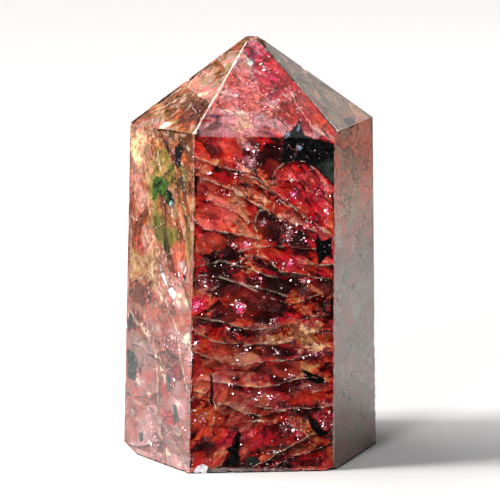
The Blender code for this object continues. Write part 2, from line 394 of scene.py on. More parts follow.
# Patches that stand out in the photograph: place and half-size in its pixels, and their palette
PATCHES = (
    # Front; the lilac and magenta patches on clusters of glints are painted glow round the glints
    (208, 147, 20, 14, "crimson"), (234, 147, 11, 14, "orange"), (251, 153, 9, 17, "violet"),
    (268, 170, 16, 22, "maroon"), (303, 182, 30, 23, "ruby"), (312, 188, 19, 18, "wine"),
    (254, 188, 20, 20, "beige"), (268, 228, 13, 16, "maroon"), (288, 222, 12, 10, "violet"),
    (216, 215, 22, 15, "peach"), (209, 243, 16, 10, "peach"), (236, 240, 14, 6, "rosy"),
    (247, 147, 6, 6, "glint_haze"), (250, 162, 6, 7, "glint_haze"), (241, 140, 4, 5, "glint_haze"),
    (289, 234, 3, 8, "glint_haze"), (245, 246, 5, 4, "magenta"), (291, 262, 17, 9, "ruby"),
    (254, 264, 17, 9, "beige"), (226, 268, 16, 8, "maroon"), (232, 288, 28, 11, "maroon"),
    (205, 284, 12, 11, "violet"), (225, 313, 14, 12, "maroon"), (262, 300, 28, 22, "maroon"),
    (239, 308, 8, 6, "magenta"), (197, 304, 9, 9, "magenta"), (293, 329, 12, 9, "orange"),
    (288, 336, 42, 10, "amber"), (312, 328, 14, 6, "beige"), (312, 352, 16, 9, "violet"),
    (226, 356, 30, 18, "rosy"), (236, 374, 26, 13, "rosy"), (275, 352, 20, 6, "maroon"),
    (276, 374, 28, 9, "maroon"), (206, 345, 10, 9, "orange"), (196, 372, 7, 14, "ruby"),
    (203, 383, 10, 7, "salmon"), (226, 393, 14, 9, "rosy"), (248, 402, 40, 11, "rosy"),
    (302, 386, 26, 7, "violet"), (304, 404, 26, 5, "violet"), (246, 362, 14, 8, "haze"),
    (228, 408, 16, 6, "haze"), (262, 330, 20, 6, "violet"), (250, 425, 22, 8, "rosy"),
    (300, 398, 18, 8, "crimson"), (275, 437, 32, 12, "ruby"), (323, 422, 11, 12, "magenta"),
    (208, 424, 18, 17, "orange"), (206, 450, 12, 8, "maroon"), (197, 459, 9, 9, "crimson"),
    (292, 450, 34, 5, "brown"), (311, 461, 20, 8, "ruby"), (320, 290, 14, 12, "maroon"),
    (213, 182, 20, 8, "crimson"), (245, 181, 13, 10, "beige"), (320, 215, 12, 14, "ruby"),
    (306, 300, 18, 14, "amber"), (200, 195, 8, 16, "crimson"),
    # Left side
    (162, 195, 14, 46, "moss"), (182, 165, 5, 26, "moss"), (160, 168, 7, 16, "olive"),
    (158, 226, 8, 13, "green"), (170, 240, 10, 14, "moss"), (138, 222, 8, 14, "rust"),
    (140, 268, 16, 28, "tan"), (178, 262, 9, 22, "pinkish"), (187, 243, 3, 22, "olive"),
    (162, 391, 6, 7, "ruby"), (167, 418, 7, 7, "ruby"), (176, 373, 5, 8, "ruby"),
    (135, 150, 13, 32, "rosehaze"), (133, 200, 11, 24, "rosehaze"), (140, 238, 12, 14, "rosehaze"),
    (186, 150, 6, 22, "rust"), (170, 205, 14, 22, "warm"), (140, 352, 14, 16, "quiet"),
    # Point; its blush and haze patches lighten it, partly as paler stone and partly as painted haze of
    # reflected light
    (188, 116, 15, 10, "rust"), (236, 112, 30, 12, "haze"), (280, 122, 9, 9, "violet"),
    (262, 102, 11, 5, "beige"), (278, 111, 11, 5, "beige"), (291, 121, 8, 6, "beige"),
    (232, 98, 28, 14, "blush"), (296, 96, 12, 9, "blush"), (262, 92, 28, 9, "blush"),
    (252, 106, 34, 9, "blush"), (274, 76, 20, 20, "ruby"), (300, 112, 24, 18, "crimson"),
    (240, 86, 17, 20, "blush"), (250, 126, 44, 12, "haze"), (325, 120, 12, 9, "orange"),
    (219, 131, 20, 7, "haze"), (264, 60, 16, 19, "wine"), (251, 48, 8, 9, "wine"),
    (270, 66, 12, 16, "ruby"), (298, 86, 8, 9, "crimson"), (318, 104, 6, 6, "crimson"),
    (300, 66, 12, 9, "rosehaze"), (356, 118, 11, 5, "peach"),
    # Foot of the right side
    (349, 455, 6, 8, "rust"), (361, 438, 4, 9, "olive"), (342, 446, 6, 9, "rosy"),
    (367, 440, 5, 8, "brown"),
)
# Cracks that show as pale lines: width in millimetres, how strongly the stone is painted lighter above as
# if lit and painted darker below as if shaded, and the places that the line passes through in the
# photograph's pixels
CRACKS = (
    (0.13, 0.9, ((191, 155), (210, 163), (229, 169), (246, 173))),
    (0.17, 1.0, ((191, 174), (216, 183), (234, 192), (246, 199), (260, 207), (273, 214), (287, 221),
                 (313, 232))),
    (0.10, 0.8, ((208, 201), (228, 210), (250, 223))),
    (0.14, 0.8, ((192, 220), (205, 229), (228, 234), (259, 240))),
    (0.16, 0.5, ((226, 270), (238, 261), (250, 255), (258, 255), (271, 262), (279, 271), (293, 272),
                 (313, 277), (333, 279))),
    (0.10, 0.6, ((220, 260), (248, 268), (277, 278))),
    (0.08, 0.7, ((205, 272), (246, 286), (287, 298))),
    (0.12, 0.5, ((193, 318), (222, 322), (250, 331), (270, 328), (300, 322), (333, 312))),
    (0.16, 0.5, ((192, 331), (214, 340), (250, 347), (282, 343), (310, 334), (330, 330))),
    (0.14, 0.7, ((206, 382), (236, 386), (256, 387), (277, 384), (297, 379), (307, 377), (322, 380))),
    (0.16, 0.8, ((210, 402), (229, 405), (246, 415), (262, 417), (283, 410), (307, 410), (333, 407))),
    (0.12, 0.6, ((256, 407), (283, 410))),
    (0.14, 0.8, ((250, 467), (263, 462), (277, 453), (295, 444), (309, 437), (322, 433))),
    (0.13, 0.8, ((265, 471), (275, 467), (287, 459), (307, 453), (328, 445))),
    (0.12, 0.3, ((274, 192), (273, 178), (277, 167), (285, 161), (298, 159), (307, 162), (317, 173),
                 (324, 183), (327, 198))),
    (0.10, 0.3, ((274, 192), (278, 198), (288, 205), (300, 208))),
    (0.12, 0.4, ((259, 241), (257, 233), (255, 225), (257, 218), (258, 212), (267, 210), (275, 217),
                 (285, 217))),
    (0.10, 0.2, ((193, 283), (200, 276), (210, 275), (217, 279), (218, 286), (210, 293), (206, 295))),
    (0.10, 0.3, ((240, 179), (246, 176), (258, 179), (272, 188), (276, 199), (274, 211))),
    (0.10, 0.3, ((218, 275), (240, 285), (258, 293))),
    (0.08, 0.3, ((244, 144), (250, 152), (256, 162), (252, 171))),
    (0.08, 0.3, ((284, 243), (288, 235), (292, 228))),
    (0.10, 0.0, ((298, 136), (297, 146), (295, 156))),
    (0.07, 0.0, ((284, 142), (293, 150), (304, 148), (318, 153))),
    (0.12, 0.6, ((260, 186), (276, 192), (293, 205), (306, 219), (318, 228), (333, 236))),
    (0.10, 0.5, ((192, 268), (215, 262), (238, 252), (262, 246), (290, 247), (318, 250))),
    (0.09, 0.5, ((270, 300), (290, 306), (312, 299), (332, 290))),
    (0.09, 0.5, ((192, 352), (215, 360), (240, 366), (262, 362), (290, 360), (318, 352))),
    (0.09, 0.5, ((244, 425), (262, 421), (286, 424), (305, 432), (312, 441))),
    (0.08, 0.4, ((192, 392), (212, 398), (218, 412), (213, 430))),
    (0.22, 0.2, ((182, 141), (188, 149), (195, 156))),
    (0.20, 0.2, ((180, 161), (186, 169), (194, 176))),
    (0.12, 0.2, ((143, 122), (150, 137), (157, 151), (158, 166), (163, 181), (167, 199), (173, 222))),
    (0.10, 0.2, ((131, 158), (139, 172), (146, 190), (149, 215), (154, 243), (162, 258))),
    (0.08, 0.2, ((165, 124), (168, 142), (175, 158), (183, 181), (189, 205), (191, 228))),
    (0.10, 0.2, ((182, 205), (187, 216), (190, 230))),
    (0.10, 0.2, ((125, 176), (132, 190), (137, 208), (140, 226), (147, 243))),
    (0.08, 0.2, ((127, 214), (137, 222), (146, 236), (158, 246), (170, 262))),
    (0.08, 0.2, ((158, 152), (152, 168), (146, 190), (142, 214), (132, 236))),
    (0.08, 0.2, ((176, 178), (172, 196), (176, 216), (182, 236), (180, 258))),
    (0.10, 0.2, ((136, 128), (148, 134), (160, 132), (174, 136), (188, 132))),
    (0.08, 0.2, ((140, 244), (146, 258), (150, 272), (158, 282), (170, 286))),
    (0.14, 0.2, ((162, 247), (155, 259), (150, 272), (147, 288))),
    (0.12, 0.2, ((128, 252), (140, 262), (150, 272), (160, 287), (166, 300))),
    (0.09, 0.2, ((128, 283), (139, 279), (150, 272), (163, 262), (170, 250))),
    (0.50, 0.3, ((128, 312), (138, 325), (147, 335), (153, 350), (159, 366), (165, 379))),
    (0.09, 0.2, ((150, 284), (166, 303), (176, 330), (181, 362), (186, 395))),
    (0.08, 0.2, ((128, 398), (142, 405), (158, 420), (170, 441), (182, 458))),
    (0.10, 0.2, ((264, 40), (265, 50), (262, 61), (263, 68))),
    (0.10, 0.3, ((205, 118), (222, 121), (244, 128), (268, 131))),
    (0.07, 0.4, ((219, 90), (234, 96), (250, 97), (270, 106), (286, 112), (300, 124))),
    (0.05, 0.1, ((246, 66), (262, 84), (279, 92), (293, 100))),
    (0.14, 0.2, ((190, 105), (197, 113), (204, 122))),
    (0.10, 0.2, ((204, 78), (197, 93), (189, 106), (180, 118), (170, 124))),
    (0.10, 0.2, ((237, 60), (214, 78), (193, 91), (172, 103), (150, 112))),
    (0.14, 0.2, ((316, 86), (327, 97), (338, 104), (353, 120))),
    (0.10, 0.2, ((286, 58), (301, 75), (316, 86), (326, 103))),
)
# How far the light and the dark beside a crack reach, in millimetres
CRACK_MARGIN = 1.4
# Cracks spread wider where they cut a face at a slant
LINE_WIDTHS = {"left": 2.2, "point_left": 1.8, "back_left": 1.5, "right": 1.5}
# How many bright flakes are scattered in each face
FLAKES = {"front": 900, "left": 260, "right": 10, "back": 320, "back_left": 220, "back_right": 220,
          "point_front": 90, "point_right": 15}
FLAKES_ELSEWHERE = 40
# The painted contact shadow, a dark line round the foot: its width and lift in millimetres, and how far it
# turns down
CONTACT_SHADOW_WIDTH, CONTACT_SHADOW_LIFT, CONTACT_SHADOW_TURN = 0.4, 0.02, 0.5
# Where the other lines on edges lie, just under the skin
FILM_LIFT = -0.06
# Lines on edges: frosted ridges of the point with painted highlight along them, and painted highlights on
# the bevels beside the front. Name, the two faces, which stretch of the edge, and its width along it in
# millimetres
EDGE_FILMS = (
    ("frost_and_glint_point_left", "point_front", "point_left", (0.04, 1.0),
     ((0.0, 0.22), (0.2, 0.3), (0.26, 0.7), (0.34, 0.2), (0.7, 0.26), (0.78, 0.16), (0.86, 0.3),
      (1.0, 0.6))),
    ("worn_front_left", "front", "left", (0.0, 0.98), ((0.0, 0.2), (0.1, 0.07), (1.0, 0.06))),
    ("worn_front_right", "front", "right", (0.0, 0.98), ((0.0, 0.4), (0.1, 0.3), (1.0, 0.24))),
    ("frost_and_glint_point_right", "point_front", "point_right", (0.5, 1.0), ((0.0, 0.0), (0.5, 0.08), (1.0, 0.2))),
)
# Clusters of bright flakes: place and half-size in the same pixels, and how many
SPARKLES = (
    (247, 146, 5, 5, 16), (250, 163, 5, 5, 12), (256, 152, 5, 7, 8), (290, 179, 4, 4, 12),
    (294, 194, 4, 4, 14), (318, 192, 4, 4, 8), (326, 210, 3, 5, 10), (264, 223, 3, 3, 7),
    (247, 244, 3, 3, 8), (288, 235, 4, 8, 12), (235, 246, 3, 3, 5), (288, 264, 6, 4, 10),
    (257, 281, 5, 6, 12), (302, 282, 8, 4, 10), (239, 308, 4, 6, 20), (244, 306, 3, 2, 8),
    (196, 306, 5, 7, 12), (273, 322, 6, 4, 12), (233, 330, 6, 4, 10), (246, 350, 6, 5, 10),
    (277, 352, 5, 4, 10), (313, 353, 7, 6, 16), (293, 377, 7, 3, 12), (190, 362, 2, 4, 8),
    (326, 420, 5, 8, 18), (288, 428, 8, 6, 12), (298, 434, 4, 4, 6), (277, 452, 5, 3, 7),
    (232, 385, 5, 6, 8), (262, 398, 14, 6, 16), (200, 420, 9, 12, 10), (207, 178, 12, 8, 10),
    (216, 195, 14, 6, 9), (296, 238, 18, 10, 14), (310, 222, 10, 8, 14), (240, 168, 10, 10, 10),
    (205, 283, 6, 6, 8), (195, 345, 5, 20, 10),
    (176, 345, 8, 10, 16), (164, 345, 5, 5, 8), (170, 375, 8, 14, 12), (168, 215, 14, 20, 16),
    (176, 280, 8, 16, 14), (155, 440, 20, 20, 16), (178, 150, 10, 20, 8),
    (272, 78, 16, 20, 16), (262, 105, 26, 14, 14), (240, 90, 14, 14, 10), (300, 105, 20, 16, 8),
)

# Dark and bright inclusions, with painted light among them: the white-blue facets on the large black
# inclusion and the magenta and white spots away from the foot are painted highlights, and the grey beside
# the pale chip at the foot is its painted shade. Colour, depth under the surface, and outline in the same
# pixels
INCLUSIONS = (
    ("black", 0.12, ((282, 146), (283, 138), (289, 131), (293, 128), (296, 124), (299, 118), (301, 127),
                     (304, 134), (318, 139), (336, 144), (336, 188), (329, 181), (323, 176),
                     (317, 169), (311, 166), (303, 163), (296, 160), (289, 164), (282, 163))),
    ("black", 0.5, ((317, 232), (322, 241), (333, 238), (333, 254), (325, 258), (319, 266), (316, 252))),
    ("black", 0.3, ((301, 369), (309, 372), (323, 378), (329, 384), (318, 384), (306, 379))),
    ("black", 0.3, ((308, 418), (317, 421), (321, 429), (331, 434), (320, 437), (311, 429))),
    ("black", 0.2, ((237, 432), (240, 433), (240, 446), (238, 453), (241, 462), (234, 468), (222, 467),
                    (226, 460), (231, 455), (226, 449), (234, 445))),
    ("brown", 1.4, ((210, 375), (213, 377), (214, 390), (213, 405), (210, 402), (211, 389))),
    ("slate", 0.35, ((317, 166), (326, 160), (336, 158), (336, 187), (329, 180), (323, 174))),
    # Painted highlights on the facets of the large black inclusion
    ("steel_glint", 0.15, ((285, 139), (286, 133), (291, 130), (290, 136))),
    ("steel_glint", 0.15, ((297, 129), (300, 123), (300, 129), (298, 132))),
    ("steel_glint", 0.15, ((296, 146), (300, 145), (303, 148), (299, 151))),
    # A pale chip at the foot, and beside it its painted shade
    ("chip_and_glint", 0.1, ((193, 474), (197, 467), (203, 464), (209, 468), (206, 474))),
    ("slate", 0.3, ((206, 474), (209, 468), (213, 471), (212, 474))),
    # Painted magenta glints
    ("fuchsia_glint", 0.3, ((236, 312), (237, 305), (241, 302), (245, 306), (242, 310), (240, 315))),
    ("fuchsia_glint", 0.3, ((192, 310), (194, 303), (198, 301), (200, 305), (196, 310))),
    ("fuchsia_glint", 0.3, ((245, 246), (248, 242), (250, 245), (247, 248))),
    ("fuchsia_glint", 0.3, ((287, 266), (290, 261), (293, 263), (291, 267))),
    ("fuchsia_glint", 0.3, ((291, 198), (293, 192), (297, 193), (296, 198))),
    ("ash", 0.3, ((210, 474), (214, 470), (222, 469), (234, 471), (245, 468), (252, 471), (258, 474))),
    ("slate", 0.25, ((247, 458), (255, 456), (261, 463), (256, 468), (247, 467))),
    ("black", 0.2, ((174, 147), (178, 145), (181, 149), (180, 165), (177, 169), (174, 164))),
    ("green", 0.3, ((152, 181), (156, 176), (163, 177), (167, 182), (165, 192), (161, 196), (157, 193),
                    (151, 200))),
    ("green", 0.25, ((162, 193), (167, 190), (171, 196), (172, 203), (168, 207), (164, 202))),
    ("black", 0.2, ((166, 190), (170, 192), (173, 200), (171, 206), (168, 202), (168, 196))),
    ("glass", 0.15, ((168, 204), (171, 200), (172, 204), (169, 207))),
    ("brown", 0.5, ((144, 208), (148, 212), (140, 228), (135, 238), (131, 230), (136, 218))),
    # Painted glints on the left side, the last one dimmer and in mauve
    ("chip_and_glint", 0.12, ((159, 264), (162, 268), (165, 279), (168, 288), (163, 281), (160, 273))),
    ("chip_and_glint", 0.12, ((167, 290), (171, 287), (176, 294), (174, 300), (170, 296))),
    ("mauve", 0.12, ((178, 263), (184, 260), (186, 268), (184, 277), (180, 272))),
    ("black", 0.2, ((183, 273), (185, 276), (184, 281), (181, 277))),
    ("slate", 0.4, ((126, 349), (133, 352), (137, 364), (134, 381), (127, 378))),
    ("slate", 0.4, ((128, 310), (132, 316), (130, 327), (127, 322))),
    ("slate", 0.4, ((165, 375), (169, 376), (171, 389), (167, 392))),
    ("slate", 0.4, ((172, 403), (176, 406), (178, 421), (173, 424))),
    ("slate", 0.4, ((138, 433), (142, 432), (143, 440), (139, 442))),
    ("brown", 0.4, ((176, 124), (181, 114), (193, 104), (205, 104), (203, 111), (190, 122))),
    ("chip_and_glint", 0.2, ((247, 58), (251, 57), (254, 62), (252, 66), (248, 63))),
    ("black", 0.3, ((343, 117), (350, 116), (357, 122), (352, 127), (346, 123))),
    ("black", 0.3, ((353, 284), (355, 284), (355, 289), (353, 288))),
    ("black", 0.3, ((336, 297), (339, 298), (339, 302), (337, 301))),
    ("black", 0.2, ((342, 391), (345, 392), (346, 397), (343, 396))),
    ("black", 0.2, ((348, 396), (351, 397), (351, 401), (349, 400))),
    ("black", 0.3, ((370, 242), (372, 242), (372, 246), (370, 246))),
)


def sight(px, py):
    """Where the sight line of a pixel starts, and its direction."""
    where, turn = camera_place()
    ray = Vector((px - PICTURE_SIZE / 2, PICTURE_SIZE / 2 - py, -FOCAL_PIXELS)).normalized()
    return np.array(where), np.array(turn.to_matrix() @ ray)


def on_stone(px, py):
    """Face name and point of the stone's outer surface for a place in the photograph."""
    origin, ray = sight(px, py)
    facing = NORMALS @ ray
    reach = (OFFSETS - NORMALS @ origin) / facing
    reach[facing >= 0] = -1e9
    nearest = int(np.argmax(reach))
    return FACES[nearest], origin + ray * reach[nearest]


def on_plane(px, py, face):
    """Where the sight line of a pixel meets the plane of one face."""
    origin, ray = sight(px, py)
    k = FACES.index(face)
    return origin + ray * ((OFFSETS[k] - NORMALS[k] @ origin) / (NORMALS[k] @ ray))


def flat(points, face):
    """Points as level and upward millimetres in a face."""
    return np.asarray(points) @ np.stack(face_axes(face), axis=1)


def patch_share(p, patch, face):
    """Squared distance from a patch's middle, in shares of its half-size."""
    px, py, rx, ry, _ = patch
    middle = flat(on_plane(px, py, face), face)
    half_x = np.linalg.norm(flat(on_plane(px + rx, py, face), face) - middle)
    half_y = np.linalg.norm(flat(on_plane(px, py + ry, face), face) - middle)
    away = flat(p, face) - middle
    return (away[:, 0] / half_x) ** 2 + (away[:, 1] / half_y) ** 2


def inside_outline(q, outline):
    """Which flat points lie inside a closed outline."""
    inside = np.zeros(len(q), bool)
    for a, b in zip(outline, np.roll(outline, -1, axis=0)):
        crosses = (a[1] > q[:, 1]) != (b[1] > q[:, 1])
        at = (b[0] - a[0]) * (q[:, 1] - a[1]) / (b[1] - a[1] + 1e-12) + a[0]
        inside ^= crosses & (q[:, 0] < at)
    return inside


def line_distance(q, line):
    """Distance of flat points to a line of several stretches, and whether they lie above it."""
    best = np.full(len(q), 1e9)
    above = np.zeros(len(q), bool)
    for a, b in zip(line[:-1], line[1:]):
        d = b - a
        t = np.clip(((q - a) @ d) / (d @ d), 0, 1)
        off = q - a - t[:, None] * d
        away = np.linalg.norm(off, axis=1)
        closer = away < best
        best[closer] = away[closer]
        above[closer] = (d[0] * off[closer, 1] - d[1] * off[closer, 0]) * np.sign(d[0] + 1e-9) > 0
    return best, above


def wild_cracks(face):
    """Cracks of the faces that the photograph doesn't show, and one more on each of those it does."""
    rng = random.Random(SEED * 100 + FACES.index(face))
    corners = flat(face_corners(face), face)
    low, high = corners.min(axis=0), corners.max(axis=0)
    size = high - low
    steep = FABRICS[face] is slanting_grains
    shown = face in ("front", "left", "right", "point_front", "point_left", "point_right")
    count = 1 if shown else int(size[0] * size[1] * 0.016) + 2
    lines = []
    for _ in range(count):
        turn = rng.gauss(-1.15, 0.3) if steep else rng.gauss(-0.25, 0.25)
        step = rng.uniform(1.6, 3.4)
        here = np.array([rng.uniform(low[0], high[0]), rng.uniform(low[1], high[1])])
        line = [here]
        for _ in range(rng.randint(3, 8)):
            turn += rng.gauss(0, 0.22)
            here = here + step * np.array([math.cos(turn), math.sin(turn)])
            line.append(here)
        lines.append((rng.uniform(0.08, 0.16), rng.uniform(0.3, 0.9), np.array(line)))
    return lines


def face_cracks(face):
    """Width, strength and flat line of each crack in a face."""
    lines = wild_cracks(face)
    for width, strength, places in CRACKS:
        middle = places[len(places) // 2]
        if on_stone(*middle)[0] == face:
            lines.append((width, strength, flat([on_plane(*q, face) for q in places], face)))
    return lines


def crack_shares(q, lines, widen):
    """How near points lie above and below the cracks, and on them, from 0 to 1."""
    above = np.zeros(len(q))
    below = np.zeros(len(q))
    on = np.zeros(len(q))
    for width, strength, line in lines:
        low, high = line.min(axis=0) - 3 * CRACK_MARGIN, line.max(axis=0) + 3 * CRACK_MARGIN
        near = np.all((q > low) & (q < high), axis=1)
        if not near.any():
            continue
        away, over = line_distance(q[near], line)
        above[near] = np.maximum(above[near], over * strength * np.exp(-away / CRACK_MARGIN))
        below[near] = np.maximum(below[near], ~over * strength * np.exp(-away / CRACK_MARGIN))
        half = (0.07 + 0.4 * width) * widen
        on[near] = np.maximum(on[near], (0.6 + 0.4 * strength) * np.exp(-(away / half) ** 2))
    return above, below, on


def stone_warp(p):
    """Slow bends of the stone's layers and cracks, in millimetres."""
    return np.stack([layered_noise(p / 7.0, 3, SEED + k) for k in (31, 32, 33)], axis=1)


def lean_across(g, salt):
    """How far a point lies along its grain's own direction, for a slant or a fade."""
    lean = np.stack([chance(g["id"], salt + k) * 2 - 1 for k in range(3)], axis=1)
    return np.einsum("ij,ij->i", lean, g["off"])


def patch_shares(p, patch, face, ragged):
    """How strongly a patch shows, from 0 to 1, with a ragged edge; nothing where it is on another face."""
    if on_stone(patch[0], patch[1])[0] != face:
        return None
    return smooth(1.25 - patch_share(p, patch, face) + 0.55 * ragged, 0.0, 0.4)


def stone_fields(p, face):
    """Grains of four sizes and slow noises in the stone under points on a face."""
    q, scale = FABRICS[face](p)
    warp = stone_warp(p)
    q = q + warp * 0.9
    ragged = layered_noise(p / 1.6, 4, SEED + 50)
    return {
        "warp": warp,
        "big": grains(q / (BIG * scale), SEED + 1),
        "middle": grains(q / (MIDDLE * scale), SEED + 2),
        "small": grains((q + 0.1 * warp) / (SMALL * scale), SEED + 3),
        "tiny": grains(q / (TINY * scale), SEED + 4),
        "cloud": layered_noise(q / scale / 2.2, 5, SEED + 40),
        "drift": layered_noise(q / scale / 6.0, 4, SEED + 45),
        "ragged": ragged,
        "jagged": np.stack([ragged, layered_noise(p / 0.9, 3, SEED + 85)], axis=1),
        "hue": layered_noise(p / 4.5, 3, SEED + 55),
    }


def crumble(p, fields, shares):
    """How broken up the stone is, from 0 to 1."""
    own = 0.5 * (chance(fields["big"]["id"], 21) - 0.5)
    crumbly = smooth(layered_noise(p / 5.0, 3, SEED + 60) + own, -0.25, 0.3)
    for palette, share in shares:
        crumbly = crumbly * (1 - share) + share * CRUMBLE.get(palette, 0.5)
    return crumbly


def grain_depth(fields, crumbly):
    """Depth of the grains in millimetres, each with its own sink and slant."""
    big, middle, small = fields["big"], fields["middle"], fields["small"]
    depth = 0.3 + 0.9 * chance(big["id"], 5) ** 2 + 0.45 * lean_across(big, 20)
    depth += 0.25 * (chance(middle["id"], 6) - 0.35) + 0.25 * lean_across(middle, 30)
    depth += 0.16 * fields["cloud"]
    depth += crumbly * (0.16 * (chance(small["id"], 7) - 0.5) + 0.3 * lean_across(small, 40))
    return depth + crumbly * 0.14 * lean_across(fields["tiny"], 50)


def grain_tone(fields, crumbly):
    """One number for how dark or hazy the stone is, about 0.5, from which the colour comes."""
    big, middle = fields["big"], fields["middle"]
    parted = 0.45 + 0.75 * crumbly
    t = 0.5 + 0.5 * fields["drift"] + 0.2 * fields["cloud"] + 0.5 * (chance(big["id"], 9) - 0.5)
    t += 0.42 * lean_across(big, 60) + parted * 0.34 * (chance(middle["id"], 14) - 0.5)
    t += parted * 0.3 * lean_across(middle, 16)
    t += crumbly * (0.5 * (chance(fields["small"]["id"], 15) - 0.5) + 0.2 * fields["ragged"])
    return t + crumbly * 0.42 * (chance(fields["tiny"]["id"], 25) - 0.5)


def grain_colour(p, face, t, fields, crumbly, shares, contrast):
    """Colour from the palettes of the face and its patches, with slow shifts of hue and light."""
    colour = face_tone(face, p, t, fields["ragged"])
    strength = 0.9 if contrast > 0.5 else 0.5
    for palette, share in shares:
        share = share[:, None] * strength
        colour = colour * (1 - share) + tone(palette, t) * share
    red = colour[:, 0]
    hue = fields["hue"]
    colour[:, 1] += contrast * red * 0.10 * np.clip(hue + 0.1, 0, 1) * smooth(t, 0.1, 0.6)
    colour[:, 2] += contrast * red * 0.12 * np.clip(-hue - 0.1, 0, 1)
    own = 0.25 * crumbly * (chance(fields["small"]["id"], 17) - 0.5)
    shade = np.clip(1.0 + 0.42 * fields["cloud"] + own, 0.3, 1.8)
    return colour * (1.0 + contrast * (shade - 1.0))[:, None]


def set_inclusions(p, face, fields, look):
    """Paints and sinks the dark and bright inclusions of a face, and the painted highlights and painted
    shade given with them.
    """
    for kind, sunk, outline in INCLUSIONS:
        touched = {on_stone(*place)[0] for place in outline}
        if face not in touched:
            continue
        edge = flat([on_plane(*place, face) for place in outline], face)
        rough = 0.0 if kind in ("chip_and_glint", "steel_glint") else 0.14
        wander = rough * np.stack([fields["ragged"], fields["cloud"]], axis=1)
        inside = inside_outline(flat(p, face) + wander, edge)
        lit = 0.15 + 0.6 * chance(fields["middle"]["id"][inside], 23)
        lit = lit + 0.8 * chance(fields["small"]["id"][inside], 24)
        lit = lit + 0.5 * (chance(fields["tiny"]["id"][inside], 26) - 0.5) + 0.3 * fields["cloud"][inside]
        look["colour"][inside] = COLOURS[kind] * np.clip(lit, 0.1, 2.0)[:, None]
        look["depth"][inside] = sunk + 0.35 * (look["depth"][inside] - LEAST_DEPTH)
        look["gloss"][inside] = 0.95
        look["web"][inside] = 0.0
        look["crumb"][inside] = 0.5


def grain_look(p, face):
    """Depth in millimetres, colour, gloss, web and crumble of the stone under points on a face."""
    fields = stone_fields(p, face)
    shares = [(patch[4], patch_shares(p, patch, face, fields["ragged"])) for patch in PATCHES]
    shares = [(palette, share) for palette, share in shares if share is not None]
    crumbly = crumble(p, fields, shares)
    contrast = FACE_CONTRAST.get(face, 1.0)
    spot = flat(p, face) + 0.4 * fields["warp"][:, :2] + 0.11 * fields["jagged"]
    above, below, on = crack_shares(spot, face_cracks(face), LINE_WIDTHS.get(face, 1.0))

    # Painted light above each crack and painted shade below it
    t = grain_tone(fields, crumbly) + 0.32 * above - 0.42 * below
    t = np.clip(0.5 + contrast ** 0.5 * (t - 0.5), 0.0, 1.0)
    colour = grain_colour(p, face, t, fields, crumbly, shares, contrast)
    colour = colour * np.exp(-contrast * below[:, None] * CRACK_SHADE)
    depth = grain_depth(fields, crumbly)
    depth = depth * (1 - 0.6 * above) + 0.6 * above * 0.15 + 0.9 * below
    depth = np.clip(depth, LEAST_DEPTH, MOST_DEPTH)
    colour = colour * np.exp(-depth[:, None] * contrast * ABSORPTION)
    # Painted light and shade of each face, with its tint
    colour = colour * painted_face_light(face, p)
    line = on * smooth(layered_noise(p / 1.5, 3, SEED + 80), -0.3, 0.4)
    line = (0.85 * contrast ** 0.5 * line)[:, None]
    colour = colour * (1 - line) + COLOURS["cream"] * line

    web = contrast ** 1.5 * np.clip(0.35 + 0.6 * layered_noise(p / 6.0, 2, SEED + 70), 0.0, 1.0)
    look = {
        "depth": depth,
        "colour": colour,
        "gloss": np.clip(0.35 + 0.6 * chance(fields["middle"]["id"], 19), 0, 1),
        "web": np.where(crumbly > 0.5, web, web * 0.7),
        "crumb": crumbly,
    }
    set_inclusions(p, face, fields, look)
    look["colour"] = np.clip(look["colour"], 0.0, 0.95)
    return look


def face_tone(face, p, t, ragged):
    """A face's own colour; the left one turns from warm above to veiled below."""
    colour = tone(FACE_PALETTES[face], t)
    if face in ("left", "back_left"):
        low = smooth(46.0 - p[:, 2] + 7.0 * ragged, 0.0, 10.0)[:, None]
        colour = colour * (1 - low) + tone("veiled", t) * low
    return colour


def painted_face_light(face, p):
    """How light a face's grains are, partly as painted light and shade, and how that changes up the stone.
    """
    low, high = FACE_PAINTED_LIGHT.get(face, NO_PAINTED_LIGHT)
    up = smooth(p[:, 2], *SHADE_HEIGHTS.get(face, USUAL_HEIGHTS))[:, None]
    tint = np.array(low) * (1 - up) + np.array(high) * up
    # Painted shade at the foot of the right side
    if face == "right":
        tint = tint * (1 - smooth(-p[:, 2], -FOOT_TOP, -FOOT_FULL)[:, None] * RIGHT_FOOT_PAINTED_SHADE)
    return tint


